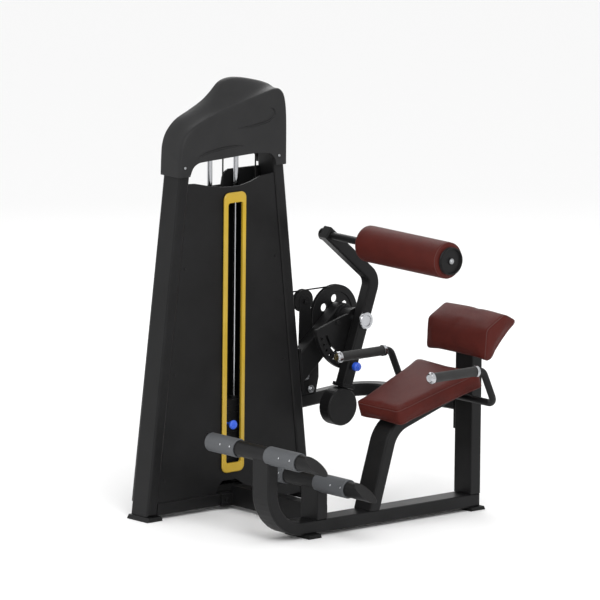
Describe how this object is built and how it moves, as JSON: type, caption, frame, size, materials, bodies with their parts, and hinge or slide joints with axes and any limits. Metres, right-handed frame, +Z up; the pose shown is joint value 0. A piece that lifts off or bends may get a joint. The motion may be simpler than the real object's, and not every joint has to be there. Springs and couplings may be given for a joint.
{
  "type": "seated back extension machine",
  "caption": "Weight-stack tower with a tilted seat, lower-back pad, side grips, round footrests and a roller on a counterweighted swing arm that lifts the stack.",
  "frame": {"origin": "centre of the footprint's bounding box, on the floor", "axes": "+X from the tower's slot face towards the seat module, +Y from the footrests towards the back pad (the user faces -Y), +Z up"},
  "size_m": [1.032, 1.257, 1.677],
  "materials": {
    "frame_paint": "satin charcoal powder coat",
    "cap_plastic": "moulded, fine satin",
    "cover_sheet": "satin charcoal sheet",
    "chrome": "polished",
    "iron": "black painted plate",
    "yellow_trim": "gloss yellow",
    "blue_knob": "gloss blue",
    "upholstery": "maroon, fine grain",
    "foot_rubber": "blue-grey ribbed rubber",
    "black_rubber": "black"
  },
  "bodies": {
    "frame": {"upright_front_side": "frame_paint", "upright_seat_side": "frame_paint", "tower_bottom_rail": "frame_paint", "tower_foot_front_side": "frame_paint", "tower_foot_seat_side": "frame_paint", "front_cover": "cover_sheet", "rear_cover": "cover_sheet", "slot_trim": "yellow_trim", "top_cap": "cap_plastic", "top_cross_member": "frame_paint", "guide_rod_front_side": "chrome", "guide_rod_seat_side": "chrome", "rod_block": "black_rubber", "plates_resting": "iron", "side_pulley_bracket": "frame_paint", "idler_bracket": "frame_paint", "cable": "black_rubber", "pivot_support": "frame_paint", "pivot_housing": "frame_paint", "front_post_and_rail": "frame_paint", "second_post": "frame_paint", "seat_post": "frame_paint", "rear_upright": "frame_paint", "front_foot": "black_rubber", "rear_foot": "black_rubber", "cross_beam": "frame_paint", "lateral_beam": "frame_paint", "gusset_plate": "frame_paint", "seat_pad": "upholstery", "seat_pan": "frame_paint", "back_pad": "upholstery", "back_plate": "frame_paint", "handle_tower_side": "frame_paint", "grip_core_tower_side": "chrome", "grip_tower_side": "black_rubber", "handle_outer_side": "frame_paint", "grip_core_outer_side": "chrome", "grip_outer_side": "black_rubber", "footrest_upper": "frame_paint", "foot_pad_upper_tower": "foot_rubber", "foot_pad_upper_outer": "foot_rubber", "footrest_lower": "frame_paint", "foot_pad_lower_tower": "foot_rubber", "foot_pad_lower_outer": "foot_rubber"},
    "cam_shaft": {"pivot_shaft": "chrome", "cam": "frame_paint", "range_sector": "frame_paint"},
    "arm": {"swing_arm": "frame_paint", "counterweight": "iron", "roller_axle": "frame_paint"},
    "roller": {"roller_pad": "upholstery", "roller_hub": "frame_paint"},
    "pop_pin": {"pop_pin": "blue_knob"},
    "stack": {"head_plate": "iron", "plates_lifted": "iron"},
    "selector_pin": {"selector_pin": "blue_knob"},
    "top_pulley_stack": {"top_pulley_stack": "black_rubber"},
    "top_pulley_side": {"top_pulley_side": "black_rubber"},
    "side_pulley": {"side_pulley": "black_rubber"},
    "idler_pulley": {"idler_pulley": "black_rubber"}
  },
  "joints": [
    {"name": "arm_swing", "type": "hinge", "parent": "frame", "child": "cam_shaft", "pos_m": [-0.338, 0.38551, 0.693], "axis": [1, 0, 0], "range_deg": [-70, 0]},
    {"name": "start_position", "type": "hinge", "parent": "cam_shaft", "child": "arm", "pos_m": [-0.338, 0.38551, 0.693], "axis": [1, 0, 0], "range_deg": [-50.4, 0]},
    {"name": "roller_spin", "type": "hinge", "parent": "arm", "child": "roller", "pos_m": [0.162, 0.21111, 1.048], "axis": [1, 0, 0], "continuous": true},
    {"name": "pop_pin_pull", "type": "slide", "parent": "arm", "child": "pop_pin", "axis": [1, 0, 0], "range_m": [0, 0.014], "stiffness_N_per_m": 900, "springref_m": -0.004},
    {"name": "stack_lift", "type": "slide", "parent": "frame", "child": "stack", "axis": [0, 0, 1], "range_m": [0, 0.136]},
    {"name": "selector_pin_pull", "type": "slide", "parent": "stack", "child": "selector_pin", "axis": [1, 0, 0], "range_m": [0, 0.06]},
    {"name": "top_pulley_stack_spin", "type": "hinge", "parent": "frame", "child": "top_pulley_stack", "pos_m": [-0.472, -0.15749, 1.485], "axis": [1, 0, 0], "range_deg": [-245, 0]},
    {"name": "top_pulley_side_spin", "type": "hinge", "parent": "frame", "child": "top_pulley_side", "pos_m": [-0.472, -0.05549, 1.485], "axis": [1, 0, 0], "range_deg": [-245, 0]},
    {"name": "side_pulley_spin", "type": "hinge", "parent": "frame", "child": "side_pulley", "pos_m": [-0.472, 0.01651, 0.843], "axis": [1, 0, 0], "range_deg": [0, 195]},
    {"name": "idler_pulley_spin", "type": "hinge", "parent": "frame", "child": "idler_pulley", "pos_m": [-0.472, 0.22551, 0.763], "axis": [1, 0, 0], "range_deg": [-195, 0]}
  ],
  "couplings": [
    {"joint": "stack_lift", "follows": "arm_swing", "m_per_rad": -0.11},
    {"joint": "top_pulley_stack_spin", "follows": "arm_swing", "ratio": 3.4375},
    {"joint": "top_pulley_side_spin", "follows": "arm_swing", "ratio": 3.4375},
    {"joint": "side_pulley_spin", "follows": "arm_swing", "ratio": -2.75},
    {"joint": "idler_pulley_spin", "follows": "arm_swing", "ratio": 2.75}
  ]
}
